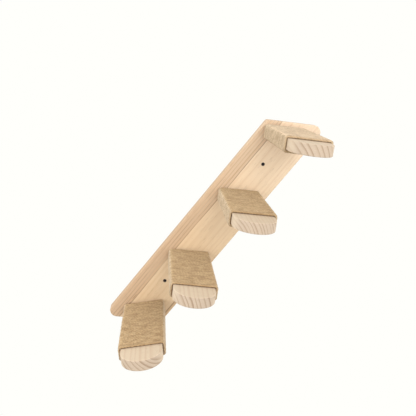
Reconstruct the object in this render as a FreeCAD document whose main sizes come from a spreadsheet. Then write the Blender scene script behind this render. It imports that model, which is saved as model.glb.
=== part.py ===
import FreeCAD, Part
import math
import os

import PartDesign
import Sketcher

# Wall mounted cat stair.  A sloping pine backboard lies flat on the wall, and four
# pine treads stand straight out from it.  Each tread is wound with jute cord over
# the part nearest the wall and turns on one centre bolt, so that it can be levelled.
#
# Frame: millimetres.  The wall is the plane Y = 0 and the stair stands out along -Y,
# +X is to the right and +Z is up.  The origin is the centre of the backboard's back.

doc = FreeCAD.newDocument("wall_cat_stair")
TREADS = (1, 2, 3, 4)
SCREWS = ("lower", "upper")

# ---------------------------------------------------------------- driving dimensions

SIZES = (
    ("slope_angle", 57.7, "degrees between the backboard's long edges and the level"),
    ("board_height", 528, "from the lower to the upper end, both cut level"),
    ("board_width", 123.5, "across the long edges"),
    ("board_thickness", 18, "planed pine board"),
    ("sharp_corner", 17, "radius of the two pointed corners"),
    ("blunt_corner", 8, "radius of the two wide corners"),
    ("board_easing", 2.5, "rounding of the front edge"),
    ("tread_width", 88, "pine plank of a tread"),
    ("tread_thickness", 23, "pine plank of a tread"),
    ("tread_side", 233, "straight side, from the backboard to the half round nose"),
    ("tread_easing", 1.8, "rounding of the plank's long edges"),
    ("lower_room", 40.33, "up the slope, from the lower end to tread 1's centre"),
    ("upper_room", 37.33, "up the slope, from tread 4's centre to the upper end"),
    ("tread2_shift", -10.33, "up the slope, from even spacing"),
    ("tread3_shift", -0.67, ""),
    ("tread1_across", -4.5, "tread centre, from the middle to the upper left edge"),
    ("tread2_across", -5.5, ""),
    ("tread3_across", -3, ""),
    ("tread4_across", 9, ""),
    ("tread1_angle", 12.5, "degrees out of level on the centre bolt"),
    ("tread2_angle", 0, ""),
    ("tread3_angle", 0, ""),
    ("tread4_angle", 0, ""),
    ("cord_diameter", 6, "jute cord"),
    ("wound_length", 220, "from the backboard to the last turn's front"),
    ("turn_count", 24, "turns of one winding"),
    ("wound_clearance", 0.3, "between the cord and the plank"),
    ("board_clearance", 0.8, "between the first turn and the backboard"),
    ("bolt_diameter", 8, "centre bolt of a tread"),
    ("bolt_length", 35, "under the head"),
    ("bolt_head", 16, "diameter of the low head"),
    ("bolt_head_height", 4, ""),
    ("bolt_key", 5, "across the flats of the hexagon socket"),
    ("bolt_key_depth", 2.5, ""),
    ("bolt_clearance", 0.08, "radial, bolt in the backboard"),
    ("bolt_recess", 0.9, "head below the backboard's back"),
    ("washer_diameter", 24, ""),
    ("washer_thickness", 1.6, ""),
    ("washer_clearance", 0.2, "radial, bolt in the washer"),
    ("washer_room", 1, "radial, washer in its recess"),
    ("insert_diameter", 12, "threaded insert in the plank's end"),
    ("insert_length", 20, ""),
    ("insert_spare", 4, "hole depth past the insert"),
    ("screw1_shift", 0, "up the slope, from halfway between treads 1 and 2"),
    ("screw2_shift", 4.5, "up the slope, from halfway between treads 3 and 4"),
    ("screw_diameter", 5, "wall screw, over its thread"),
    ("screw_neck", 3.6, "plain neck, as long as the backboard is thick"),
    ("screw_head", 8.4, ""),
    ("screw_length", 55, "head and tip included"),
    ("screw_tip", 7, "length of the point"),
    ("screw_clearance", 0.2, "radial, screw in the backboard"),
    ("screw_sunk", 0.2, "head below the backboard's front"),
    ("cross_width", 1.1, "cross slot in the screw's head"),
    ("cross_length", 4.4, ""),
    ("cross_depth", 2.2, ""),
)

sheet = doc.addObject("Spreadsheet::Sheet", "Sizes")
for row, (alias, value, note) in enumerate(SIZES, start=1):
    sheet.set("A%d" % row, alias)
    sheet.set("B%d" % row, str(value))
    sheet.set("C%d" % row, note)
    sheet.setAlias("B%d" % row, alias)
doc.recompute()


def size(alias):
    """Value of a driving dimension, read from the sheet."""
    return float(sheet.get(alias))


# ------------------------------------------------------------------- shared helpers

# The board and the treads turn about the wall's normal, anticlockwise from the front.
PLACE = "placement(vector(%s; %s; %s); rotation(vector(0; -1; 0); %s))"
BOARD_FRONT = "-Sizes.board_thickness"
SLOPE = "Sizes.slope_angle * 1deg"
COS = "cos(%s)" % SLOPE
SIN = "sin(%s)" % SLOPE

# Centres up the slope.  The end treads keep their room from the board's ends, the
# middle two share the way between them, and a wall screw is halfway between two.
HALF_LENGTH = "Sizes.board_height / 2 / %s" % SIN
TREAD_1 = "(Sizes.lower_room - %s)" % HALF_LENGTH
TREAD_4 = "(%s - Sizes.upper_room)" % HALF_LENGTH
TREAD_2 = "(%s * 2 / 3 + %s / 3 + Sizes.tread2_shift)" % (TREAD_1, TREAD_4)
TREAD_3 = "(%s / 3 + %s * 2 / 3 + Sizes.tread3_shift)" % (TREAD_1, TREAD_4)
TREAD_ALONG = {1: TREAD_1, 2: TREAD_2, 3: TREAD_3, 4: TREAD_4}
SCREW_ALONG = {"lower": "((%s + %s) / 2 + Sizes.screw1_shift)" % (TREAD_1, TREAD_2),
               "upper": "((%s + %s) / 2 + Sizes.screw2_shift)" % (TREAD_3, TREAD_4)}

# Places on Y of what the centre bolt holds, from the board's front, and of the screw.
HEAD_BACK = "(Sizes.board_thickness - Sizes.bolt_recess)"
WASHER_BACK = "(%s - Sizes.bolt_head_height)" % HEAD_BACK
RECESS_DEPTH = "Sizes.bolt_recess + Sizes.bolt_head_height + Sizes.washer_thickness"
SCREW_FRONT = "(Sizes.screw_sunk - Sizes.board_thickness)"
SCREW_HEAD_DEPTH = "((Sizes.screw_head - Sizes.screw_neck) / 2)"
SCREW_BACK = "(%s + Sizes.screw_length)" % SCREW_FRONT

# Lengths that differ by less than this are the same, in millimetres.
CLOSE = 1e-4


def on_board(along, across):
    """X and Z expressions of a point given up the slope and towards the upper left."""
    return ("%s * %s - %s * %s" % (along, COS, across, SIN),
            "%s * %s + %s * %s" % (along, SIN, across, COS))


def place_board_piece(piece):
    piece.setExpression("Placement", PLACE % ("0", "0", "0", SLOPE))


def place_tread_piece(piece, number):
    """Put a tread's piece, drawn with the bolt axis on Y, at its place on the board."""
    x, z = on_board(TREAD_ALONG[number], "Sizes.tread%d_across" % number)
    turn = "Sizes.tread%d_angle * 1deg" % number
    piece.setExpression("Placement", PLACE % (x, BOARD_FRONT, z, turn))


def new_body(label):
    body = doc.addObject("PartDesign::Body", label)
    body.Label = label
    return body


def new_sketch(body, role, name):
    """Empty sketch on one of the body's own origin planes."""
    sketch = body.newObject("Sketcher::SketchObject", name)
    plane = [item for item in body.Origin.OriginFeatures if item.Role == role][0]
    sketch.AttachmentSupport = [(plane, "")]
    sketch.MapMode = "FlatFace"
    return sketch


def bind(sketch, kind, parts, name, expression, value):
    """Add a named dimension to a sketch and tie it to the sheet."""
    sketch.addConstraint(Sketcher.Constraint(kind, *parts, value))
    index = sketch.ConstraintCount - 1
    sketch.renameConstraint(index, name)
    sketch.setExpression("Constraints." + name, expression)


def add_circle(sketch, name, radius, x=None, y=None):
    """Circle with its centre at signed distances from the origin: on the X axis where
    y is left out, and at the origin where both are."""
    circle = sketch.addGeometry(Part.Circle(FreeCAD.Vector(1, 1, 0),
                                            FreeCAD.Vector(0, 0, 1), 1))
    bind(sketch, "Radius", (circle,), name + "_radius", radius, 1)
    if x is None:
        sketch.addConstraint(Sketcher.Constraint("Coincident", circle, 3, -1, 1))
        return
    bind(sketch, "DistanceX", (-1, 1, circle, 3), name + "_x", x, 1)
    if y is None:
        sketch.addConstraint(Sketcher.Constraint("PointOnObject", circle, 3, -1))
    else:
        bind(sketch, "DistanceY", (-1, 1, circle, 3), name + "_y", y, 1)


def pad(body, sketch, length, name, symmetric=False):
    feature = body.newObject("PartDesign::Pad", name)
    feature.Profile = sketch
    feature.setExpression("Length", length)
    if symmetric:
        feature.SideType = "Symmetric"
    sketch.Visibility = False
    doc.recompute()
    return feature


def pocket(body, sketch, length, name):
    """Cut forward (-Y) from a sketch on the XZ plane, and check that it cuts."""
    before = body.Shape.Volume
    feature = body.newObject("PartDesign::Pocket", name)
    feature.Profile = sketch
    feature.Reversed = True
    if length is None:
        feature.Type = "ThroughAll"
    else:
        feature.setExpression("Length", length)
    doc.recompute()
    if not body.Shape.Volume < before - 1:
        raise RuntimeError(name + " cuts nothing")
    return feature


def dress(body, kind, name, wanted, prop, expression):
    """Fillet or chamfer the edges of the body's tip for which wanted(edge) is true."""
    base = body.Tip
    edges = ["Edge%d" % (index + 1) for index, edge in enumerate(base.Shape.Edges)
             if wanted(edge)]
    if not edges:
        raise RuntimeError(name + " finds no edges")
    feature = body.newObject("PartDesign::" + kind, name)
    feature.Base = (base, edges)
    feature.setExpression(prop, expression)
    doc.recompute()
    return feature


def all_at(edge, axis, value):
    """Whether a whole edge lies at one value of x, y or z."""
    low = getattr(edge.BoundBox, axis + "Min")
    high = getattr(edge.BoundBox, axis + "Max")
    return abs(low - value) < CLOSE and abs(high - value) < CLOSE


def is_circle(edge, radius):
    curve = edge.Curve
    return isinstance(curve, Part.Circle) and abs(curve.Radius - radius) < CLOSE


def rod(name, radius, start, length):
    """Cylinder along Y from start towards the front, all three as expressions."""
    cylinder = doc.addObject("Part::Cylinder", name)
    cylinder.setExpression("Radius", radius)
    cylinder.setExpression("Height", length)
    cylinder.Placement.Rotation = FreeCAD.Rotation(FreeCAD.Vector(1, 0, 0), 90)
    cylinder.setExpression("Placement.Base.y", start)
    return cylinder


def cone(name, back_radius, front_radius, start, length):
    """Cone along Y from its back end at start towards the front."""
    body = doc.addObject("Part::Cone", name)
    body.setExpression("Radius1", back_radius)
    body.setExpression("Radius2", front_radius)
    body.setExpression("Height", length)
    body.Placement.Rotation = FreeCAD.Rotation(FreeCAD.Vector(1, 0, 0), 90)
    body.setExpression("Placement.Base.y", start)
    return body


def combine(kind, name, base, tool):
    result = doc.addObject("Part::" + kind, name)
    result.Label = name
    result.Base = base
    result.Tool = tool
    return result


# ------------------------------------------------------------------------ backboard

def board_outline(body):
    """Parallelogram with its long edges along X and both ends cut level when hung."""
    slope = math.radians(size("slope_angle"))
    half_length = size("board_height") / math.sin(slope) / 2
    half_width = size("board_width") / 2
    lean = half_width / math.tan(slope)
    corners = [FreeCAD.Vector(-half_length + lean, -half_width, 0),
               FreeCAD.Vector(half_length + lean, -half_width, 0),
               FreeCAD.Vector(half_length - lean, half_width, 0),
               FreeCAD.Vector(-half_length - lean, half_width, 0)]
    sketch = new_sketch(body, "XZ_Plane", "board_outline")
    for index in range(4):
        sketch.addGeometry(Part.LineSegment(corners[index], corners[(index + 1) % 4]))
    for index in range(4):
        sketch.addConstraint(Sketcher.Constraint("Coincident", index, 2,
                                                 (index + 1) % 4, 1))
    sketch.addConstraint(Sketcher.Constraint("Symmetric", 0, 1, 2, 1, -1, 1))
    sketch.addConstraint(Sketcher.Constraint("Symmetric", 1, 1, 3, 1, -1, 1))
    sketch.addConstraint(Sketcher.Constraint("Horizontal", 0))
    bind(sketch, "DistanceX", (0, 1, 0, 2), "long_edge",
         "2 * " + HALF_LENGTH, 2 * half_length)
    bind(sketch, "DistanceY", (1, 1, 1, 2), "width",
         "Sizes.board_width", 2 * half_width)
    bind(sketch, "DistanceX", (1, 2, 1, 1), "end_lean",
         "Sizes.board_width * %s / %s" % (COS, SIN), 2 * lean)
    return sketch


def make_backboard():
    """Pine board on the wall: bolt holes recessed from the back for the four treads,
    and two countersunk screw holes from the front."""
    body = new_body("backboard")
    pad(body, board_outline(body), "Sizes.board_thickness", "board")

    slope = math.radians(size("slope_angle"))
    half_length = size("board_height") / math.sin(slope) / 2
    lean = size("board_width") / 2 / math.tan(slope)
    front = -size("board_thickness")

    def upright_at(reach):
        return lambda edge: (all_at(edge, "X", reach) or all_at(edge, "X", -reach))

    dress(body, "Fillet", "sharp_corners", upright_at(half_length + lean),
          "Radius", "Sizes.sharp_corner")
    dress(body, "Fillet", "blunt_corners", upright_at(half_length - lean),
          "Radius", "Sizes.blunt_corner")
    dress(body, "Fillet", "front_easing", lambda edge: all_at(edge, "Y", front),
          "Radius", "Sizes.board_easing")

    bolt_sketch = new_sketch(body, "XZ_Plane", "bolt_holes")
    recess_sketch = new_sketch(body, "XZ_Plane", "washer_recesses")
    for number in TREADS:
        centre = (TREAD_ALONG[number], "Sizes.tread%d_across" % number)
        add_circle(bolt_sketch, "bolt%d" % number,
                   "Sizes.bolt_diameter / 2 + Sizes.bolt_clearance", *centre)
        add_circle(recess_sketch, "recess%d" % number,
                   "Sizes.washer_diameter / 2 + Sizes.washer_room", *centre)
    pocket(body, bolt_sketch, None, "bolt_holes_cut")
    pocket(body, recess_sketch, RECESS_DEPTH, "washer_recesses_cut")

    screw_sketch = new_sketch(body, "XZ_Plane", "screw_holes")
    for name in SCREWS:
        add_circle(screw_sketch, name, "Sizes.screw_diameter / 2 + Sizes.screw_clearance",
                   SCREW_ALONG[name])
    pocket(body, screw_sketch, None, "screw_holes_cut")
    hole_radius = size("screw_diameter") / 2 + size("screw_clearance")
    dress(body, "Chamfer", "countersinks",
          lambda edge: all_at(edge, "Y", front) and is_circle(edge, hole_radius),
          "Size", "(Sizes.screw_head - Sizes.screw_diameter) / 2 + Sizes.screw_sunk")
    place_board_piece(body)


# ---------------------------------------------------------------------- tread plank

def tread_outline(body):
    """Plan of a plank: straight sides and a half round nose as wide as the plank."""
    half = size("tread_width") / 2
    side = size("tread_side")
    nose = Part.Circle(FreeCAD.Vector(0, -side, 0), FreeCAD.Vector(0, 0, 1), half)
    back_left = FreeCAD.Vector(-half, 0, 0)
    back_right = FreeCAD.Vector(half, 0, 0)
    sketch = new_sketch(body, "XY_Plane", "tread_outline")
    sketch.addGeometry(Part.LineSegment(back_left, FreeCAD.Vector(-half, -side, 0)))
    sketch.addGeometry(Part.ArcOfCircle(nose, math.pi, 2 * math.pi))
    sketch.addGeometry(Part.LineSegment(FreeCAD.Vector(half, -side, 0), back_right))
    sketch.addGeometry(Part.LineSegment(back_right, back_left))
    sketch.addConstraint(Sketcher.Constraint("Tangent", 0, 2, 1, 1))
    sketch.addConstraint(Sketcher.Constraint("Tangent", 1, 2, 2, 1))
    sketch.addConstraint(Sketcher.Constraint("Coincident", 2, 2, 3, 1))
    sketch.addConstraint(Sketcher.Constraint("Coincident", 3, 2, 0, 1))
    sketch.addConstraint(Sketcher.Constraint("Symmetric", 3, 1, 3, 2, -1, 1))
    sketch.addConstraint(Sketcher.Constraint("Horizontal", 3))
    sketch.addConstraint(Sketcher.Constraint("Vertical", 0))
    sketch.addConstraint(Sketcher.Constraint("Vertical", 2))
    bind(sketch, "DistanceX", (3, 2, 3, 1), "width", "Sizes.tread_width", 2 * half)
    bind(sketch, "DistanceY", (0, 2, 0, 1), "side", "Sizes.tread_side", side)
    return sketch


def make_tread(number):
    """Pine plank of one tread, with the hole for its insert in the end on the board."""
    label = "tread_%d" % number
    body = new_body(label)
    pad(body, tread_outline(body), "Sizes.tread_thickness", label + "_plank", True)
    half = size("tread_thickness") / 2

    def long_edge(edge):
        on_face = all_at(edge, "Z", half) or all_at(edge, "Z", -half)
        return on_face and not all_at(edge, "Y", 0)

    dress(body, "Fillet", label + "_easing", long_edge, "Radius", "Sizes.tread_easing")
    hole = new_sketch(body, "XZ_Plane", label + "_insert_hole")
    add_circle(hole, "insert", "Sizes.insert_diameter / 2")
    pocket(body, hole, "Sizes.insert_length + Sizes.insert_spare", label + "_hole_cut")
    place_tread_piece(body, number)


# --------------------------------------------------------------------- jute winding

def quarter_biarc(start, start_way, end, end_way):
    """Two arcs that join two points with the given unit directions at them."""
    across = end - start
    turned = 1 - start_way.dot(end_way)
    both = across.dot(start_way + end_way)
    reach = (math.sqrt(both ** 2 + 2 * turned * across.dot(across)) - both) / (2 * turned)
    middle = (start + end + (start_way - end_way) * reach) * 0.5
    arcs = []
    for first, corner, last in ((start, start + start_way * reach, middle),
                                (middle, end - end_way * reach, end)):
        chord_middle = (first + last) * 0.5
        half_chord = (last - first).Length / 2
        height = (corner - chord_middle).Length
        radius = half_chord * (corner - first).Length / height
        bulge = radius - math.sqrt(radius ** 2 - half_chord ** 2)
        top = chord_middle + (corner - chord_middle).normalize() * bulge
        arcs.append(Part.Arc(first, top, last).toShape())
    return arcs


def winding_stations():
    """Points and directions where the cord's straight runs round the plank begin and
    end.  The cord's centre line is the plank's section grown by the cord's radius and
    the clearance, walked at a steady rate of advance, from the middle of the
    underside."""
    off = size("cord_diameter") / 2 + size("wound_clearance")
    bend = size("tread_easing") + off
    flat_x = size("tread_width") / 2 - size("tread_easing")
    flat_z = size("tread_thickness") / 2 - size("tread_easing")
    side_x = size("tread_width") / 2 + off
    side_z = size("tread_thickness") / 2 + off
    quarter = math.pi / 2 * bend
    around = ((0, -side_z, 1, 0, flat_x), (flat_x, -side_z, 1, 0, quarter),
              (side_x, -flat_z, 0, 1, 2 * flat_z), (side_x, flat_z, 0, 1, quarter),
              (flat_x, side_z, -1, 0, 2 * flat_x), (-flat_x, side_z, -1, 0, quarter),
              (-side_x, flat_z, 0, -1, 2 * flat_z), (-side_x, -flat_z, 0, -1, quarter),
              (-flat_x, -side_z, 1, 0, flat_x))
    turns = int(size("turn_count"))
    first_y = -(size("board_clearance") + size("cord_diameter") / 2)
    last_y = -(size("wound_length") - size("cord_diameter") / 2)
    length = sum(step[4] for step in around)
    rate = (last_y - first_y) / (turns * length)
    stations = []
    for turn in range(turns):
        walked = turn * length
        for x, z, way_x, way_z, step in around:
            way = FreeCAD.Vector(way_x, rate, way_z).normalize()
            stations.append((FreeCAD.Vector(x, first_y + rate * walked, z), way))
            walked += step
    stations.append((FreeCAD.Vector(0, last_y, -side_z),
                     FreeCAD.Vector(1, rate, 0).normalize()))
    return stations


def winding_path():
    """Straight runs on the plank's four sides, and a biarc round each corner."""
    stations = winding_stations()
    edges = []
    for (start, start_way), (end, end_way) in zip(stations, stations[1:]):
        if start_way.dot(end_way) > 0.5:
            edges.append(Part.LineSegment(start, end).toShape())
        else:
            edges.extend(quarter_biarc(start, start_way, end, end_way))
    return Part.Wire(edges)


def gap_to_itself(path, turns):
    """Least distance between points of one turn and of the next, less the cord."""
    points_a_turn = 120
    nearest = points_a_turn * 2 // 3
    furthest = points_a_turn * 4 // 3
    points = path.discretize(Number=turns * points_a_turn + 1)
    least = min((points[index] - points[other]).Length
                for index in range(len(points) - nearest)
                for other in range(index + nearest, min(index + furthest, len(points))))
    return least - size("cord_diameter")


def make_winding_shape():
    """One unbroken tube along the winding's path, drawn in a tread's own frame."""
    path = winding_path()
    start = path.OrderedEdges[0]
    way = start.tangentAt(start.FirstParameter)
    ring = Part.Wire([Part.Circle(start.valueAt(start.FirstParameter), way,
                                  size("cord_diameter") / 2).toShape()])
    sweep = Part.BRepOffsetAPI.MakePipeShell(path)
    sweep.add(ring)
    sweep.build()
    sweep.makeSolid()
    tube = Part.Solid(sweep.shape())
    expected = math.pi * size("cord_diameter") ** 2 / 4 * path.Length
    print("winding: %d turns, cord %.0f mm long, gap to itself %.2f mm, volume %.4f"
          % (size("turn_count"), path.Length,
             gap_to_itself(path, int(size("turn_count"))), tube.Volume / expected))
    return tube


def make_jute_wrap(number, tube):
    wrap = doc.addObject("Part::Feature", "jute_wrap_%d" % number)
    wrap.Label = "jute_wrap_%d" % number
    wrap.Shape = tube
    place_tread_piece(wrap, number)


# -------------------------------------------------------------- centre bolt of a tread

def make_tread_bolt(number):
    """Low headed bolt from the back, through the board into the tread's insert."""
    label = "tread_bolt_%d" % number
    head = rod(label + "_head", "Sizes.bolt_head / 2", HEAD_BACK,
               "Sizes.bolt_head_height")
    shank = rod(label + "_shank", "Sizes.bolt_diameter / 2", WASHER_BACK,
                "Sizes.bolt_length")
    blank = combine("Fuse", label + "_blank", head, shank)
    key = doc.addObject("Part::Prism", label + "_key")
    key.Polygon = 6
    key.setExpression("Circumradius", "Sizes.bolt_key / sqrt(3)")
    key.setExpression("Height", "Sizes.bolt_key_depth")
    key.Placement.Rotation = FreeCAD.Rotation(FreeCAD.Vector(1, 0, 0), 90)
    key.setExpression("Placement.Base.y", HEAD_BACK)
    place_tread_piece(combine("Cut", label, blank, key), number)


def make_bolt_washer(number):
    """Wide washer between the bolt's head and the floor of its recess."""
    label = "bolt_washer_%d" % number
    disc = rod(label + "_disc", "Sizes.washer_diameter / 2", WASHER_BACK,
               "Sizes.washer_thickness")
    bore = rod(label + "_bore", "Sizes.bolt_diameter / 2 + Sizes.washer_clearance",
               WASHER_BACK, "Sizes.washer_thickness")
    place_tread_piece(combine("Cut", label, disc, bore), number)


def make_threaded_insert(number):
    """Steel sleeve screwed into the plank's end grain, which takes the bolt."""
    label = "threaded_insert_%d" % number
    sleeve = rod(label + "_sleeve", "Sizes.insert_diameter / 2", "0",
                 "Sizes.insert_length")
    bore = rod(label + "_bore", "Sizes.bolt_diameter / 2", "0", "Sizes.insert_length")
    place_tread_piece(combine("Cut", label, sleeve, bore), number)


# ----------------------------------------------------------------------- wall screws

def make_wall_screw(name):
    """Countersunk screw with a cross slot: a plain neck in the board, and the thread,
    drawn over its crests, from the board's back into the wall."""
    label = "wall_screw_" + name
    tip = cone(label + "_tip", "Sizes.screw_diameter / 10", "Sizes.screw_diameter / 2",
               SCREW_BACK, "Sizes.screw_tip")
    thread = rod(label + "_thread", "Sizes.screw_diameter / 2",
                 "%s - Sizes.screw_tip" % SCREW_BACK, "%s - Sizes.screw_tip" % SCREW_BACK)
    neck = rod(label + "_neck", "Sizes.screw_neck / 2", "0",
               "-%s - %s" % (SCREW_FRONT, SCREW_HEAD_DEPTH))
    head = cone(label + "_head", "Sizes.screw_neck / 2", "Sizes.screw_head / 2",
                "%s + %s" % (SCREW_FRONT, SCREW_HEAD_DEPTH), SCREW_HEAD_DEPTH)
    point = combine("Fuse", label + "_point", tip, thread)
    stem = combine("Fuse", label + "_stem", point, neck)
    blank = combine("Fuse", label + "_blank", stem, head)
    slots = []
    for way, (width, height) in (("level", ("cross_length", "cross_width")),
                                 ("upright", ("cross_width", "cross_length"))):
        slot = doc.addObject("Part::Box", "%s_%s_slot" % (label, way))
        slot.setExpression("Length", "Sizes." + width)
        slot.setExpression("Width", "Sizes.cross_depth")
        slot.setExpression("Height", "Sizes." + height)
        slot.setExpression("Placement.Base.x", "-Sizes.%s / 2" % width)
        slot.setExpression("Placement.Base.y", SCREW_FRONT)
        slot.setExpression("Placement.Base.z", "-Sizes.%s / 2" % height)
        slots.append(slot)
    cross = combine("Fuse", label + "_cross", *slots)
    screw = combine("Cut", label, blank, cross)
    x, z = on_board(SCREW_ALONG[name], "0")
    screw.setExpression("Placement", PLACE % (x, "0", z, "0"))


# ------------------------------------------------------------------------ build all

make_backboard()
winding = make_winding_shape()
for tread in TREADS:
    make_tread(tread)
    make_jute_wrap(tread, winding)
    make_tread_bolt(tread)
    make_bolt_washer(tread)
    make_threaded_insert(tread)
for which in SCREWS:
    make_wall_screw(which)
doc.recompute()

KINDS = ("tread_%d", "jute_wrap_%d", "tread_bolt_%d", "bolt_washer_%d",
         "threaded_insert_%d")
NODES = ["backboard"] + [kind % tread for kind in KINDS for tread in TREADS]
NODES += ["wall_screw_" + which for which in SCREWS]

for item in doc.Objects:
    if "Invalid" in item.State or "Error" in item.State:
        raise RuntimeError("failed: " + item.Label)
for node in NODES:
    shape = doc.getObjectsByLabel(node)[0].Shape
    if shape.isNull() or not shape.isValid() or len(shape.Solids) != 1:
        raise RuntimeError("bad shape: " + node)

os.makedirs("parts", exist_ok=True)
for node in NODES:
    shape = doc.getObjectsByLabel(node)[0].Shape
    shape.exportStep("parts/%s.step" % node)
    box = shape.BoundBox
    print("%-20s %8.1f %8.1f %8.1f  to %8.1f %8.1f %8.1f" % (
        node, box.XMin, box.YMin, box.ZMin, box.XMax, box.YMax, box.ZMax))
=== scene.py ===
import math

import bpy
import numpy as np
from mathutils import Matrix, Vector


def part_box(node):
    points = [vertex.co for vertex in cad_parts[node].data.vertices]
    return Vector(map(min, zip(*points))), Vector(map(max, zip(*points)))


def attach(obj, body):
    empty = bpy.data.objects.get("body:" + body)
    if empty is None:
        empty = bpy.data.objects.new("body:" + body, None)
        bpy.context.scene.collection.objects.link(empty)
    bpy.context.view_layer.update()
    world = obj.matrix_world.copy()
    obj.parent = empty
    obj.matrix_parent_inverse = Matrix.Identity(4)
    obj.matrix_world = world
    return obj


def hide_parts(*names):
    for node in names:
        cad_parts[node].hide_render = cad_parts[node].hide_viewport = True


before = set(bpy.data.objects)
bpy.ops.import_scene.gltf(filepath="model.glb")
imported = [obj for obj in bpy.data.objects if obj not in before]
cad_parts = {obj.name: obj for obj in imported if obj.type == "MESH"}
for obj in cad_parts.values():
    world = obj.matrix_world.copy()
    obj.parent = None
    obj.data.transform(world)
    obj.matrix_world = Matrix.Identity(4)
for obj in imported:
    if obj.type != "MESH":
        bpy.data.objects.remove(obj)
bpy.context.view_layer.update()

# ------------------------------------------------------------------------- studio
# A white room with soft light, a little dimmer below, and its floor far below the
# stair.  Three large lamps hang in front to the upper right, at the left and, weaker,
# at the right.  The camera is in front, above and to the left, and looks down.

ROOM_WHITE = (1.0, 1.0, 0.965, 1.0)
ROOM_GLOW = (1.0, 0.985, 0.965, 1.0)
# The glow's strength from below and from above, and how far down or up a direction
# points, from -1 to 1, where each is reached.
GLOW_BELOW = 0.58
GLOW_ABOVE = 0.96
POINTS_DOWN = -0.8
POINTS_UP = 0.6
BLACK = (0.0, 0.0, 0.0, 1.0)
FLOOR_LEVEL = -1.25
FLOOR_REACH = 60.0


class Signal:
    """A value, vector or colour on its way between two nodes.  Arithmetic on it adds
    Math nodes."""

    def __init__(self, nodes, socket):
        self.nodes = nodes
        self.socket = socket

    def math(self, operation, *others):
        """A Math node on this value and the others, in their order."""
        values = dict(enumerate((self,) + others))
        return self.nodes.add("ShaderNodeMath", {"operation": operation}, values)

    def __add__(self, other):
        return self.math("ADD", other)

    __radd__ = __add__

    def __mul__(self, other):
        return self.math("MULTIPLY", other)

    __rmul__ = __mul__

    def __sub__(self, other):
        return self.math("SUBTRACT", other)

    def __rsub__(self, other):
        return self.nodes.add("ShaderNodeMath", {"operation": "SUBTRACT"},
                              {0: other, 1: self})

    def __truediv__(self, other):
        return self.math("DIVIDE", other)


class Nodes:
    """The nodes of the room or of a material, put together one by one."""

    def __init__(self, tree):
        self.tree = tree
        tree.nodes.clear()

    def add(self, kind, settings, inputs, out=0):
        """Add a node: its settings first, then the values or links of its sockets.
        Gives one of its outputs, or nothing where it has none."""
        node = self.tree.nodes.new(kind)
        for name, value in settings.items():
            setattr(node, name, value)
        for name, value in inputs.items():
            if isinstance(value, Signal):
                self.tree.links.new(value.socket, node.inputs[name])
            else:
                node.inputs[name].default_value = value
        return Signal(self, node.outputs[out]) if node.outputs else None

    def parts(self, vector):
        """The three parts of a vector."""
        first = self.add("ShaderNodeSeparateXYZ", {}, {0: vector})
        return [Signal(self, output) for output in first.socket.node.outputs]


world = bpy.data.worlds.new("studio")
bpy.context.scene.world = world
world.use_nodes = True
room = Nodes(world.node_tree)
upwards = room.parts(room.add("ShaderNodeTexCoord", {}, {}, "Generated"))[2]
strength = room.add("ShaderNodeMapRange", {},
                    {"Value": upwards, "From Min": POINTS_DOWN, "From Max": POINTS_UP,
                     "To Min": GLOW_BELOW, "To Max": GLOW_ABOVE})
glow = room.add("ShaderNodeBackground", {}, {"Color": ROOM_GLOW, "Strength": strength})
seen = room.add("ShaderNodeBackground", {}, {"Color": ROOM_WHITE})
by_camera = room.add("ShaderNodeLightPath", {}, {}, "Is Camera Ray")
either = room.add("ShaderNodeMixShader", {}, {0: by_camera, 1: glow, 2: seen})
room.add("ShaderNodeOutputWorld", {}, {"Surface": either})

corners = [(-FLOOR_REACH, -FLOOR_REACH), (FLOOR_REACH, -FLOOR_REACH),
           (FLOOR_REACH, FLOOR_REACH), (-FLOOR_REACH, FLOOR_REACH)]
floor_mesh = bpy.data.meshes.new("floor")
floor_mesh.from_pydata([(x, y, FLOOR_LEVEL) for x, y in corners], [], [(0, 1, 2, 3)])
floor = bpy.data.objects.new("floor", floor_mesh)
bpy.context.collection.objects.link(floor)
floor_paint = bpy.data.materials.new("floor_paint")
floor_paint.use_nodes = True
paint = Nodes(floor_paint.node_tree)
coat = paint.add("ShaderNodeBsdfPrincipled", {},
                 {"Base Color": BLACK, "Roughness": 1.0, "Specular IOR Level": 0.0,
                  "Emission Color": ROOM_WHITE, "Emission Strength": 1.0})
paint.add("ShaderNodeOutputMaterial", {}, {"Surface": coat})
floor_mesh.materials.append(floor_paint)
floor.visible_diffuse = False
floor.visible_glossy = False
floor.visible_shadow = False


def hang_lamp(name, place, aim, width, watts, colour):
    """Square area lamp at a place, turned towards a point."""
    lamp = bpy.data.lights.new(name, "AREA")
    lamp.shape = "SQUARE"
    lamp.size = width
    lamp.energy = watts
    lamp.color = colour
    holder = bpy.data.objects.new(name, lamp)
    holder.location = place
    towards = Vector(aim) - Vector(place)
    holder.rotation_euler = towards.to_track_quat("-Z", "Y").to_euler()
    bpy.context.collection.objects.link(holder)


hang_lamp("key_lamp", (0.45, -2.0, 1.05), (0.05, 0.0, 0.05), 0.9, 19.5,
          (1.0, 0.97, 0.94))
hang_lamp("left_lamp", (-1.7, -1.1, 0.10), (0.0, -0.1, 0.0), 1.1, 19.0,
          (1.0, 0.98, 0.96))
hang_lamp("right_lamp", (1.7, -0.9, 0.10), (0.0, -0.1, 0.0), 1.1, 10.0,
          (1.0, 0.98, 0.96))

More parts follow.
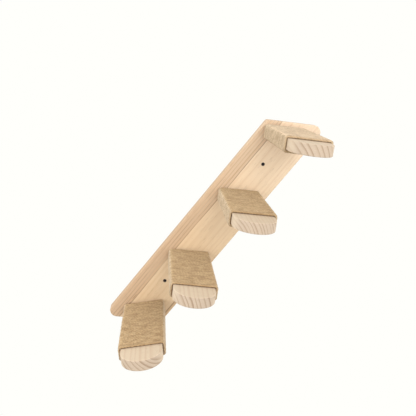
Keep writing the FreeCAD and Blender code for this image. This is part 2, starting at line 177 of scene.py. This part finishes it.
# The camera's place and angles are the ones under which the stair's outlines fall on
# the same points of a square picture, with its upright lines leaning as they do there.
# The angles, in degrees, are its turn about Z, its tilt about X and its roll.
CAMERA_PLACE = (-0.16598, -1.27787, 0.35188)
CAMERA_TURNS = (-6.7694, -13.8768, -7.5292)
PICTURE_PIXELS = 416
FOCAL_PIXELS = 543.344
SENSOR_WIDTH = 36.0
camera = bpy.data.objects.new("camera", bpy.data.cameras.new("camera"))
camera.data.sensor_width = SENSOR_WIDTH
camera.data.lens = SENSOR_WIDTH * (FOCAL_PIXELS / PICTURE_PIXELS)
camera.data.clip_start = 0.05
camera.data.clip_end = 200.0
heading, pitch, roll = (math.radians(angle) for angle in CAMERA_TURNS)
look = (Matrix.Rotation(heading, 3, "Z") @ Matrix.Rotation(pitch, 3, "X")
        @ Matrix.Rotation(roll, 3, "Y"))
look = look @ Matrix(((1, 0, 0), (0, 0, -1), (0, 1, 0)))
camera.matrix_world = Matrix.Translation(CAMERA_PLACE) @ look.to_4x4()
bpy.context.collection.objects.link(camera)
bpy.context.scene.camera = camera
bpy.context.scene.view_settings.view_transform = "Standard"

# ---------------------------------------------------------------------- backboard
# Planed pine board, 18 mm thick, cut to a parallelogram so that both ends are level
# when it hangs on its slope.  Corners rounded, front edges eased, left unvarnished,
# with its grain along the slope and a redder, finer band by the upper left edge.

BOARD_SLOPE = math.radians(57.7)
# The pith lies this far across from the board's middle, and this far behind its back.
BOARD_PITH = (0.004, 0.030)
BOARD_RING_WIDTH = 0.0052
BOARD_PALE = (0.73, 0.557, 0.358, 1.0)
BOARD_FAIR_LIT = (0.88, 0.725, 0.542, 1.0)
BOARD_DULL = (0.70, 0.555, 0.425, 1.0)
BOARD_RING = (0.60, 0.40, 0.225, 1.0)
BOARD_BAND = (0.50, 0.35, 0.23, 1.0)
# Painted shade on the eased lower right edge, which faces down and away from the light.
EDGE_SHADE = (0.50, 0.29, 0.13, 1.0)
STREAK_BROWN = (0.20, 0.10, 0.045, 1.0)
# Where, up the slope from the board's middle, the wood turns from pale to fair, partly
# its own tone and partly painted light, and its tip turns dull, and where the painted
# shade on the eased lower right edge fades out.
FAIR_LIT_STRETCH = (-0.14, 0.32)
DULL_STRETCH = (0.20, 0.31)
STRIP_STRETCH = (-0.14, -0.06)
# Across the board, from its middle towards the lower right: the band's inner edge, and
# the rim of the painted shade strip on the eased edge with the middle and the half
# width of the painted brown line on it.
BAND_EDGE = -0.0305
STRIP_RIM = (0.0538, 0.0550)
STRIP_LINE = 0.0542
STRIP_LINE_HALF = 0.0017
# Of each brown line in the band: its place, across from the band's inner edge, its half
# width and how dark it is.
BAND_LINES = ((0.0, 0.0016, 0.75), (-0.0072, 0.0015, 0.48),
              (-0.0150, 0.0015, 0.50), (-0.0224, 0.0014, 0.42))
# Of each small brown mark: its place across the board and up the slope, and how far it
# reaches from there, across and along.
BROWN_MARKS = (((-0.0316, -0.2870), (0.0016, 0.0052)),
               ((-0.0330, -0.2640), (0.0008, 0.0120)))


class Finish(Nodes):
    """The nodes of one material."""

    def __init__(self, name):
        self.material = bpy.data.materials.new(name)
        self.material.use_nodes = True
        super().__init__(self.material.node_tree)

    def mix(self, share, first, second):
        """Colour between two colours, by a share from 0 to 1."""
        settings = {"data_type": "RGBA", "clamp_factor": True}
        return self.add("ShaderNodeMix", settings, {0: share, 6: first, 7: second}, 2)

    def step(self, value, low, high, start=0.0, end=1.0):
        """Smooth passage from start to end while a value goes from low to high."""
        return self.add("ShaderNodeMapRange", {"interpolation_type": "SMOOTHSTEP"},
                        {0: value, 1: low, 2: high, 3: start, 4: end})

    def ridge(self, value, middle, half_width):
        """1 where a value is at the middle, down to 0 at half a width from it."""
        return self.step((value - middle).math("ABSOLUTE"), 0.0, half_width, 1.0, 0.0)

    def noise(self, where, scale, detail, roughness=0.5):
        """Soft noise from 0 to 1, with a scale for each axis and finer and finer
        detail up to a number of octaves."""
        stretched = self.add("ShaderNodeVectorMath", {"operation": "MULTIPLY"},
                             {0: where, 1: scale})
        return self.add("ShaderNodeTexNoise", {},
                        {"Vector": stretched, "Scale": 1.0, "Detail": detail,
                         "Roughness": roughness})

    def vector(self, *parts):
        """A vector from one, two or three values."""
        return self.add("ShaderNodeCombineXYZ", {}, dict(enumerate(parts)))

    def place(self):
        """The point of the surface, in metres."""
        return self.add("ShaderNodeTexCoord", {}, {}, "Object")

    def surface(self, colour, roughness, height, bump, constants=None):
        """The shader itself, with a bump from a height in metres, and constants that
        are the same all over the surface."""
        relief = self.add("ShaderNodeBump", {},
                          {"Height": height, "Distance": 1.0, "Strength": bump})
        shader = self.add("ShaderNodeBsdfPrincipled", {},
                          {"Base Color": colour, "Roughness": roughness,
                           "Normal": relief, **(constants or {})})
        self.add("ShaderNodeOutputMaterial", {}, {"Surface": shader})
        return self.material


def growth_rings(finish, where, pith, spacing, wander):
    """Share of dark late wood from 0 to 1.  A ring's number is the distance from the
    pith, which runs along the grain, over the rings' spacing; the pith wanders a
    little, and each ring darkens slowly and then ends at once."""
    drift = finish.noise(where, (6.0, 1.6, 6.0), 2.0)
    rough = finish.noise(where, (60.0, 5.0, 60.0), 3.0)
    across, along, through = finish.parts(where)
    shift = (drift - 0.5) * wander + (rough - 0.5) * (wander * 0.12)
    off_across = across - pith[0] + shift
    off_through = through - pith[1] + shift * 0.6
    reach = (off_across * off_across + off_through * off_through).math("SQRT")
    uneven = finish.noise(finish.vector(reach), (70.0, 1.0, 1.0), 1.0)
    ring = (reach / spacing + uneven * 1.4).math("FRACT")
    rise = finish.step(ring, 0.30, 0.93)
    fall = finish.step(ring, 0.93, 1.0, 1.0, 0.0)
    season = finish.noise(finish.vector(reach + 9.0), (110.0, 1.0, 1.0), 1.0)
    return (rise * fall).math("POWER", 1.6) * finish.step(season, 0.30, 0.65, 0.45, 1.0)


def fibres(finish, where):
    """Fine streaks along the grain, from 0 to 1."""
    coarse = finish.noise(where, (420.0, 9.0, 420.0), 3.0, 0.6)
    fine = finish.noise(where, (1700.0, 40.0, 1700.0), 2.0, 0.6)
    return coarse * 0.6 + fine * 0.4


def resin_lines(finish, where):
    """Short brown hairlines along the grain, where the wood's resin canals are cut."""
    canal = finish.noise(where, (1300.0, 55.0, 1300.0), 0.0)
    return finish.step(canal, 0.73, 0.80)


def oval_mark(finish, across, along, place, reach):
    """Share of a small oval mark, 1 at its middle and 0 at its rim."""
    off_across = (across - place[0]) / reach[0]
    off_along = (along - place[1]) / reach[1]
    return finish.step(off_across * off_across + off_along * off_along, 0.2, 1.0,
                       1.0, 0.0)


def board_pine():
    """Pine on the slope: along is measured up the slope, and across towards the lower
    right.  The wood grows paler up the slope, partly its own tone and partly painted
    light on the brighter upper board, and duller at its tip.  A redder band of fine
    rings lies by the upper left edge and ends in a brown line, and painted shade, a warm
    strip with a brown line, lies on the eased lower right edge at the foot."""
    finish = Finish("board_pine")
    x, y, z = finish.parts(finish.place())
    cos, sin = math.cos(BOARD_SLOPE), math.sin(BOARD_SLOPE)
    along = x * cos + z * sin
    across = x * sin - z * cos
    where = finish.vector(across, along, y)
    ring = growth_rings(finish, where, BOARD_PITH, BOARD_RING_WIDTH, 0.020)
    streak = fibres(finish, where)
    wide = finish.noise(where, (150.0, 2.6, 150.0), 3.0, 0.6)
    cloud = finish.noise(where, (38.0, 1.5, 38.0), 2.0)
    wander = finish.noise(where, (0.5, 5.0, 0.5), 2.0)
    off_band = across + (wander - 0.5) * 0.006 - BAND_EDGE
    band = finish.step(off_band, -0.002, 0.0015, 1.0, 0.0)
    # Partly painted light: the board is paler up the slope, partly its own tone and
    # partly the brighter lit upper board.
    fair = finish.step(along, *FAIR_LIT_STRETCH)
    colour = finish.mix(fair * 0.85, BOARD_PALE, BOARD_FAIR_LIT)
    colour = finish.mix(finish.step(along, *DULL_STRETCH) * 0.45, colour, BOARD_DULL)
    colour = finish.mix(band * (0.80 - fair * 0.36), colour, BOARD_BAND)
    colour = finish.mix(ring * (0.16 + band * 0.34 + cloud * 0.14), colour, BOARD_RING)
    colour = finish.mix(finish.step(wide, 0.42, 0.78) * 0.34, colour, BOARD_RING)
    colour = finish.mix(streak * 0.20, colour, BOARD_RING)
    colour = finish.mix(resin_lines(finish, where) * 0.30, colour, STREAK_BROWN)
    broken = finish.step(finish.noise(where, (40.0, 9.0, 40.0), 2.0), 0.30, 0.58, 0.25)
    for place, half_width, share in BAND_LINES:
        line = finish.ridge(off_band, place, half_width)
        colour = finish.mix(line * broken * share, colour, STREAK_BROWN)
    for place, reach in BROWN_MARKS:
        mark = oval_mark(finish, across, along, place, reach)
        colour = finish.mix(mark * 0.8, colour, STREAK_BROWN)
    # Painted shade: a warm strip and a brown line on the eased lower right edge, fading
    # out up the slope.
    foot = finish.step(along, *STRIP_STRETCH, 1.0, 0.0)
    strip = finish.step(across, *STRIP_RIM)
    colour = finish.mix(strip * foot * 0.34, colour, EDGE_SHADE)
    strip_line = finish.ridge(across, STRIP_LINE, STRIP_LINE_HALF)
    colour = finish.mix(strip_line * foot * 0.80, colour, STREAK_BROWN)
    roughness = 0.62 + streak * 0.12 - ring * 0.06
    height = streak * 0.00010 + wide * 0.00010 - ring * 0.00004
    return finish.surface(colour, roughness, height, 0.6)


def give(node, material):
    """Put a finish on a node of the frame."""
    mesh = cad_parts[node].data
    mesh.materials.clear()
    mesh.materials.append(material)


give("backboard", board_pine())

# ------------------------------------------------------------------------- treads
# Four pine planks, 88 by 23 mm, that stand straight out from the board.  Their free
# ends are half round, all edges are eased and sanded, and the grain runs along them,
# so the nose shows the growth rings as end grain.

TREAD_PALE = (0.665, 0.548, 0.402, 1.0)
TREAD_RING = (0.56, 0.405, 0.275, 1.0)
END_SHADE = (0.495, 0.395, 0.30, 1.0)
END_RING = (0.27, 0.18, 0.115, 1.0)
# How much further along its grain the pattern of each tread starts than the last one's.
GRAIN_SHIFT = 0.4
# Of each tread: its turn out of level in degrees, how far its pith lies to the right
# of and above the middle of its section, and the width of a growth ring.
TREADS = {1: (12.5, (0.080, 0.078), 0.0088), 2: (0.0, (-0.105, -0.042), 0.0088),
          3: (0.0, (-0.075, -0.040), 0.0069), 4: (0.0, (-0.170, -0.110), 0.0096)}


def middle_of(node):
    """The middle of a node's box."""
    low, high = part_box(node)
    return (low + high) / 2


def tread_pine(number, turn, pith, spacing):
    """Pine seen on all sides: rings round the pith, and a darker, redder end grain
    where the surface faces along the plank."""
    finish = Finish("tread_pine_%d" % number)
    centre = middle_of("tread_%d" % number)
    x, y, z = finish.parts(finish.place())
    x = x - centre.x
    z = z - centre.z
    cos, sin = math.cos(math.radians(turn)), math.sin(math.radians(turn))
    where = finish.vector(x * cos + z * sin, y + GRAIN_SHIFT * number, z * cos - x * sin)
    faces_along = finish.parts(finish.add("ShaderNodeTexCoord", {}, {}, "Normal"))[1]
    end = finish.step(faces_along.math("ABSOLUTE"), 0.20, 0.75)
    side = 1.0 - end
    ring = growth_rings(finish, where, pith, spacing, 0.016)
    crisp = ring.math("POWER", 1.25)
    streak = fibres(finish, where)
    pores = finish.noise(where, (1500.0, 1500.0, 1500.0), 2.0)
    colour = finish.mix(end * 0.78, TREAD_PALE, END_SHADE)
    colour = finish.mix(ring * (0.58 - end * 0.28), colour, TREAD_RING)
    colour = finish.mix(crisp * end * 0.80, colour, END_RING)
    colour = finish.mix(streak * 0.18 * side, colour, TREAD_RING)
    colour = finish.mix(finish.step(pores, 0.45, 0.75) * end * 0.35, colour, END_RING)
    colour = finish.mix(resin_lines(finish, where) * side * 0.25, colour, STREAK_BROWN)
    roughness = 0.60 + streak * 0.10 + end * 0.12
    height = streak * 0.00008 - ring * 0.00005
    return finish.surface(colour, roughness, height, 0.6)


for number, (turn, pith, spacing) in TREADS.items():
    give("tread_%d" % number, tread_pine(number, turn, pith, spacing))

# ------------------------------------------------------------------- jute windings
# Jute cord, 6 mm thick and laid from three strands, wound tightly round each tread,
# turn against turn, from the board to within 57 mm of its tip.  Its two ends are glued
# to the plank's underside.

CORD = 0.006
CORD_GAP = 0.0002
PLANK_WIDTH = 0.088
PLANK_THICKNESS = 0.023
PLANK_EASING = 0.0018
BOARD_FRONT = -0.018
WOUND_FROM = 0.0008
TURNS = 35
CORD_STEP = 0.0014
CORD_SIDES = 12
STRAND_LAY = 0.020
END_ROUNDING = 0.0015
# The centre line of one round: the radius of its bends, half its flat stretches along
# the plank's width and thickness, the length of a bend and that of the whole round.
BEND = PLANK_EASING + (CORD / 2 + CORD_GAP)
FLAT_X = PLANK_WIDTH / 2 - PLANK_EASING
FLAT_Z = PLANK_THICKNESS / 2 - PLANK_EASING
QUARTER = math.pi / 2 * BEND
ROUND = 4 * (FLAT_X + FLAT_Z) + 4 * QUARTER
JUTE_DARK = (0.36, 0.235, 0.11, 1.0)
JUTE_PALE = (0.76, 0.575, 0.345, 1.0)
JUTE_TAN = (0.58, 0.41, 0.22, 1.0)
JUTE_SIDE_LIT = (0.78, 0.665, 0.50, 1.0)
JUTE_TOP_PALE = (0.90, 0.735, 0.54, 1.0)
# Dark brown for dusky stretches of the fibres, and for painted shade in grooves and
# gaps.
JUTE_DUSKY_AND_SHADE = (0.26, 0.15, 0.062, 1.0)
JUTE_SHADE = (0.15, 0.068, 0.022, 1.0)
# Painted shade for the last turn's bare front.
JUTE_FRONT_SHADE = (0.31, 0.21, 0.11, 1.0)
# Of each tread's cord: how far from the board it is wound, how much further on the
# right than on the left, how much painted shade darkens it, how much paler it is on
# top, and how deep the painted shade line shows where it ends on the wood.
CORDS = {1: (0.2220, 0.0, 1.0, 0.0, 0.25), 2: (0.2225, 0.0050, 0.6, 0.0, 0.15),
         3: (0.2200, 0.0, 0.0, 0.0, 0.0), 4: (0.2200, 0.0, 0.0, 0.55, -0.35)}
FIRST_SEED = 7000


def wound_line(distance):
    """Centre line of the cord round a plank that lies along -Y, as arrays.  It is the
    plank's section grown by the cord's radius, walked from the middle of the underside.
    Gives X, Z and the two parts of the outward direction."""
    lengths = np.array([FLAT_X, QUARTER, 2 * FLAT_Z, QUARTER, 2 * FLAT_X, QUARTER,
                        2 * FLAT_Z, QUARTER, FLAT_X])
    starts = np.concatenate([[0.0], np.cumsum(lengths)])
    angles = np.array([-90, -90, 0, 0, 90, 90, 180, 180, 270, 270]) * math.pi / 180
    corner_x = np.array([0, 1, 1, 1, 1, -1, -1, -1, -1, 0]) * FLAT_X
    corner_z = np.array([-1, -1, -1, 1, 1, 1, 1, -1, -1, -1]) * FLAT_Z
    at = np.mod(distance, ROUND)
    angle = np.interp(at, starts, angles)
    out_x, out_z = np.cos(angle), np.sin(angle)
    x = np.interp(at, starts, corner_x) + BEND * out_x
    z = np.interp(at, starts, corner_z) + BEND * out_z
    return x, z, out_x, out_z


def tube_faces(rings, sides):
    """Quads between each ring of points and the next, the same way round, and a fan of
    quads from side to side that closes the first and the last ring."""
    ring = np.arange(rings - 1)[:, None] * sides
    side = np.arange(sides)[None, :]
    after = (side + 1) % sides
    wall = np.stack([ring + side, ring + after, ring + sides + after,
                     ring + sides + side], axis=-1).reshape(-1, 4)
    inner = np.arange(sides // 2 - 1)
    first = np.stack([inner, sides - 1 - inner, sides - 2 - inner, inner + 1], axis=-1)
    last = first[:, ::-1] + (rings - 1) * sides
    return np.concatenate([wall, first, last])


def mesh_piece(name, points, quads, material):
    """A smooth mesh object from arrays of points and of four cornered faces."""
    mesh = bpy.data.meshes.new(name)
    mesh.vertices.add(len(points))
    mesh.vertices.foreach_set("co", np.asarray(points, np.float32).ravel())
    mesh.loops.add(quads.size)
    mesh.loops.foreach_set("vertex_index", quads.astype(np.int32).ravel())
    mesh.polygons.add(len(quads))
    mesh.polygons.foreach_set("loop_start", np.arange(0, quads.size, 4, dtype=np.int32))
    mesh.polygons.foreach_set("use_smooth", np.full(len(quads), True))
    mesh.update(calc_edges=True)
    mesh.validate()
    mesh.materials.append(material)
    piece = bpy.data.objects.new(name, mesh)
    bpy.context.collection.objects.link(piece)
    return piece


def cord_surface(seed, wound_to, skew):
    """Cord of three twisted strands.  Round each point of the centre line the radius
    is largest on a strand and least between two, and that pattern turns once for each
    lay of the strands.  The turns move on along the plank at a steady rate and come to
    lie askew, the last one further out on the right than on the left by the skew.  Both
    ends are rounded off.  Lay, thickness and place along the plank wander by chance.

    Gives the points, ring by ring, and three vectors that each of them carries.  lay:
    distance along the cord, and the direction round it.  form: how high the strand is,
    how far the point faces away from the plank, and 1 on the last turn's bare front.
    face: the direction in which that side of the plank faces."""
    chance = np.random.default_rng(seed)
    total = ROUND * TURNS
    count = int(total / CORD_STEP)
    distance = np.linspace(0.0, total, count)
    x, z, out_x, out_z = wound_line(distance)
    first = -(WOUND_FROM + CORD / 2)
    last = -(wound_to - CORD / 2)
    y = first + (last - first - skew * x / PLANK_WIDTH) * distance / total

    def wave(points_apart, running=False):
        """Smooth chance along the cord, with knots some points apart."""
        knots = chance.normal(0.0, 1.0, count // points_apart + 2)
        if running:
            knots = np.cumsum(knots)
        return np.interp(np.arange(count) / points_apart, np.arange(len(knots)), knots)

    from_end = np.minimum(distance, total - distance)
    inner = np.clip(from_end / ROUND, 0.0, 1.0)
    y = y + (wave(16) * 0.00016 + wave(60) * 0.00022) * inner
    side = np.arange(CORD_SIDES) / CORD_SIDES * 2 * math.pi
    twist = (distance / STRAND_LAY + 0.16 * wave(22, True)) * 2 * math.pi
    angle = side[None, :] + twist[:, None]
    lobes = np.abs(np.cos(1.5 * side))[None, :]
    thick = np.clip(1 + 0.022 * wave(11) + 0.022 * wave(45), 0.93, 1.07)
    radius = CORD / 2 * (0.83 + 0.19 * lobes ** 0.8) * thick[:, None]
    radius = radius * np.clip(from_end / END_ROUNDING + 0.1, 0.1, 1.0)[:, None] ** 0.5
    outward, forward = radius * np.cos(angle), radius * np.sin(angle)
    points = np.stack([x[:, None] + outward * out_x[:, None],
                       y[:, None] + forward,
                       z[:, None] + outward * out_z[:, None]], axis=-1)

    def on_all(values):
        """The same values, spread over every point of the cord."""
        return np.broadcast_to(values, angle.shape)

    round_cord = on_all(side[None, :])
    lay = np.stack([on_all(distance[:, None]), np.cos(round_cord), np.sin(round_cord)],
                   axis=-1)
    last_turn = on_all(distance[:, None] > total - ROUND)
    form = np.stack([on_all(lobes), np.cos(angle), last_turn & (forward < 0)], axis=-1)
    face = np.stack([on_all(out_x[:, None]), on_all(out_z[:, None]), 0 * angle],
                    axis=-1)
    return points, {"lay": lay, "form": form, "face": face}


def turned_to_tread(points, number):
    """Points of a plank that lies along -Y from the origin, brought to its tread."""
    centre = middle_of("tread_%d" % number)
    angle = math.radians(TREADS[number][0])
    cos, sin = math.cos(angle), math.sin(angle)
    x, y, z = points[:, 0], points[:, 1], points[:, 2]
    return np.stack([centre.x + x * cos - z * sin, BOARD_FRONT + y,
                     centre.z + x * sin + z * cos], axis=-1)


def carried(finish, name):
    """The three parts of a vector that the cord's points carry."""
    return finish.parts(finish.add("ShaderNodeAttribute", {"attribute_name": name}, {},
                                   "Vector"))


def jute(name, lower_shade, top_pale, seam_shade_depth):
    """Dull straw brown fibres that run with the strands, with tan and dusky stretches,
    and painted shade between the strands and in the grooves between the turns, which are
    wider in places.  The last turn's front is bare, darkened by painted shade, and
    darkest where it meets the wood.  Painted light makes the cord paler on the plank's
    two narrow sides; the cord may be paler on top, and painted shade darkens it more on
    the lower treads."""
    finish = Finish(name)
    along, cos, sin = carried(finish, "lay")
    lobe, outward, bare = carried(finish, "form")
    sideways, upwards = carried(finish, "face")[:2]
    rolled = finish.vector(along, cos, sin)
    hair = finish.noise(rolled, (230.0, 5.0, 5.0), 4.0, 0.7)
    patch = finish.noise(finish.vector(along), (42.0, 1.0, 1.0), 2.0)
    dusky = finish.noise(finish.vector(along + 5.0), (26.0, 1.0, 1.0), 3.0, 0.6)
    gap = finish.noise(finish.place(), (64.0, 190.0, 64.0), 2.0, 0.6)
    wide = finish.step(gap, 0.43, 0.60)
    # Painted light: the cord is paler on the plank's two narrow sides, which catch more
    # light.
    side_lit = finish.step(sideways.math("ABSOLUTE"), 0.45, 0.9)
    top = finish.step(upwards, 0.45, 0.9)
    groove = finish.step(lobe, 0.0, 0.70, 1.0, 0.0)
    colour = finish.mix(finish.step(hair, 0.30, 0.70), JUTE_DARK, JUTE_PALE)
    colour = finish.mix(finish.step(patch, 0.35, 0.65) * 0.45, colour, JUTE_TAN)
    colour = finish.mix(finish.step(dusky, 0.46, 0.66) * 0.42, colour, JUTE_DUSKY_AND_SHADE)
    colour = finish.mix(side_lit * 0.45, colour, JUTE_SIDE_LIT)
    # The cord is made paler on top, by each tread's share.
    colour = finish.mix(top * top_pale, colour, JUTE_TOP_PALE)
    # Painted shade: the lower treads' cords are darker, where the light dims towards the
    # lower left.
    colour = finish.mix(lower_shade * 0.10, colour, JUTE_DUSKY_AND_SHADE)
    # Painted shade between the strands and in the gaps between the turns, deeper where
    # the gaps are wider.
    colour = finish.mix(groove * 0.26 + wide * 0.34, colour, JUTE_DUSKY_AND_SHADE)
    # Painted shade darkens the last turn's bare front, which faces the light more than
    # the top does.
    colour = finish.mix(bare * 0.40, colour, JUTE_FRONT_SHADE)
    # Painted shade on the side of the cord that faces the plank: in the grooves between
    # the turns, and as a dark line where the last turn's front meets the wood.
    seam_shade = finish.noise(finish.vector(along), (75.0, 1.0, 1.0), 2.0)
    bare_rim = seam_shade * 1.8 - (1.25 - seam_shade_depth)
    rim = (wide * 1.05 - 0.45) * (1.0 - bare) + bare_rim * bare
    sunk_shade = finish.step(rim - outward, -0.25, 0.55)
    colour = finish.mix(sunk_shade * 0.85, colour, JUTE_SHADE)
    return finish.surface(colour, 0.92, hair * 0.0005, 0.8,
                          {"Sheen Weight": 0.12, "Sheen Roughness": 0.5})


for number, (wound_to, skew, lower_shade, top_pale, seam_shade_depth) in CORDS.items():
    points, vectors = cord_surface(FIRST_SEED + number, wound_to, skew)
    cord = mesh_piece("jute_cord_%d" % number,
                      turned_to_tread(points.reshape(-1, 3), number),
                      tube_faces(len(points), CORD_SIDES),
                      jute("jute_%d" % number, lower_shade, top_pale, seam_shade_depth))
    for name, values in vectors.items():
        attribute = cord.data.attributes.new(name, "FLOAT_VECTOR", "POINT")
        attribute.data.foreach_set("vector", values.astype(np.float32).ravel())
    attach(cord, "step_%d" % number)
    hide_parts("jute_wrap_%d" % number)

# ------------------------------------------------------------------- centre bolts
# Zinc plated steel: a low headed bolt and a wide washer in a recess of the board's
# back hold each tread by the brass coloured insert in its end.

ZINC = (0.72, 0.72, 0.74, 1.0)
BRASS = (0.70, 0.62, 0.42, 1.0)


def metal(name, colour, roughness, metallic=1.0):
    """Metal with a fine grain, and with soft stains that darken and dull it."""
    finish = Finish(name)
    place = finish.place()
    grain = finish.noise(place, (900.0, 900.0, 900.0), 3.0)
    stain = finish.noise(place, (120.0, 120.0, 120.0), 2.0)
    stained = tuple(0.72 * part for part in colour[:3]) + (1.0,)
    tint = finish.mix(stain * 0.6, colour, stained)
    rough = roughness + (stain - 0.5) * 0.25
    return finish.surface(tint, rough, grain * 0.00006, 0.4, {"Metallic": metallic})


zinc = metal("zinc", ZINC, 0.34)
brass = metal("brass", BRASS, 0.38)
for number in TREADS:
    give("tread_bolt_%d" % number, zinc)
    give("bolt_washer_%d" % number, zinc)
    give("threaded_insert_%d" % number, brass)

# -------------------------------------------------------------------- wall screws
# Two black countersunk wood screws with a cross recess hold the board on the wall.
# Their plain necks pass through the board, and a coarse thread begins behind it.

SCREW_BLACK = (0.035, 0.03, 0.03, 1.0)
HEAD_RADIUS = 0.0042
NECK_RADIUS = 0.0018
CREST_RADIUS = 0.0025
ROOT_RADIUS = 0.00165
POINT_RADIUS = 0.0001
HEAD_RIM = 0.0002
SCREW_TIP = 0.007
SCREW_STEP = 0.0002
SCREW_SIDES = 48
FACE_RINGS = 18
THREAD_PITCH = 0.0024
# Half the width of the thread's ridge at its foot, as a share of the pitch.
RIDGE_HALF_WIDTH = 0.28
# Behind the board: where the neck has run down to the root, where the ridge has its
# full height, and how far past the start of the point it keeps it.
NECK_END = 0.001
THREAD_START = 0.0015
THREAD_PAST_TIP = 0.002
CROSS_HALF_WIDTH = 0.00062
CROSS_WALL = 0.0003
CROSS_REACH = 0.0025
CROSS_DEPTH = 0.0021


def screw_surface(front, back):
    """Wood screw on Y, ring by ring from the middle of its head's face to its point.
    The radius follows the face, the head's cone, the neck, and then a narrow ridge
    that moves one pitch along for each turn and fades out towards the point.  The
    face sinks along two crossed slots, deepest in the middle.  Each ring runs so that
    the faces between the rings point outwards."""
    head_back = front + HEAD_RADIUS - NECK_RADIUS
    tip = back - SCREW_TIP
    face = np.linspace(0.07, 1.0, FACE_RINGS) * HEAD_RADIUS
    shaft = np.concatenate([np.linspace(front + HEAD_RIM, head_back, 5),
                            np.linspace(head_back, 0.0, 6)[1:],
                            np.arange(SCREW_STEP, back - front, SCREW_STEP)])
    shaft = np.append(shaft[shaft < back - SCREW_STEP / 2], back)
    y = np.concatenate([np.full(FACE_RINGS, front), shaft])[:, None]
    turn = np.arange(SCREW_SIDES)[None, :] / SCREW_SIDES * 2 * math.pi
    root = np.interp(shaft, [front, head_back, 0.0, NECK_END, tip, back],
                     [HEAD_RADIUS, NECK_RADIUS, NECK_RADIUS, ROOT_RADIUS, ROOT_RADIUS,
                      POINT_RADIUS])
    crest = np.interp(shaft, [0.0, THREAD_START, tip + THREAD_PAST_TIP, back],
                      [0.0, CREST_RADIUS, CREST_RADIUS, POINT_RADIUS])
    root = np.concatenate([face, root])[:, None]
    crest = np.concatenate([np.zeros(FACE_RINGS), crest])[:, None]
    phase = np.mod(y / THREAD_PITCH - turn / (2 * math.pi), 1.0)
    ridge = np.clip(1 - np.abs(phase - 0.5) / RIDGE_HALF_WIDTH, 0.0, 1.0)
    radius = root + np.clip(crest - root, 0.0, None) * ridge
    x, z = radius * np.cos(turn), radius * np.sin(turn)
    y = np.broadcast_to(y, x.shape).copy()
    slots = [np.clip((CROSS_HALF_WIDTH - np.abs(off_slot)) / CROSS_WALL, 0.0, 1.0)
             * np.clip(1.4 - 1.4 * np.abs(on_slot) / CROSS_REACH, 0.0, 1.0)
             for off_slot, on_slot in ((x, z), (z, x))]
    y[:FACE_RINGS] += (CROSS_DEPTH * np.maximum(*slots))[:FACE_RINGS]
    return np.stack([x, y, z], axis=-1)[:, ::-1]


black = metal("black_phosphate", SCREW_BLACK, 0.5, 0.6)
for which in ("lower", "upper"):
    node = "wall_screw_" + which
    low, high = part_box(node)
    rings = screw_surface(low.y, high.y)
    axis = np.array([(low.x + high.x) / 2, 0.0, (low.z + high.z) / 2])
    screw = mesh_piece("threaded_screw_" + which, rings.reshape(-1, 3) + axis,
                       tube_faces(len(rings), SCREW_SIDES), black)
    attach(screw, "board")
    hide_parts(node)
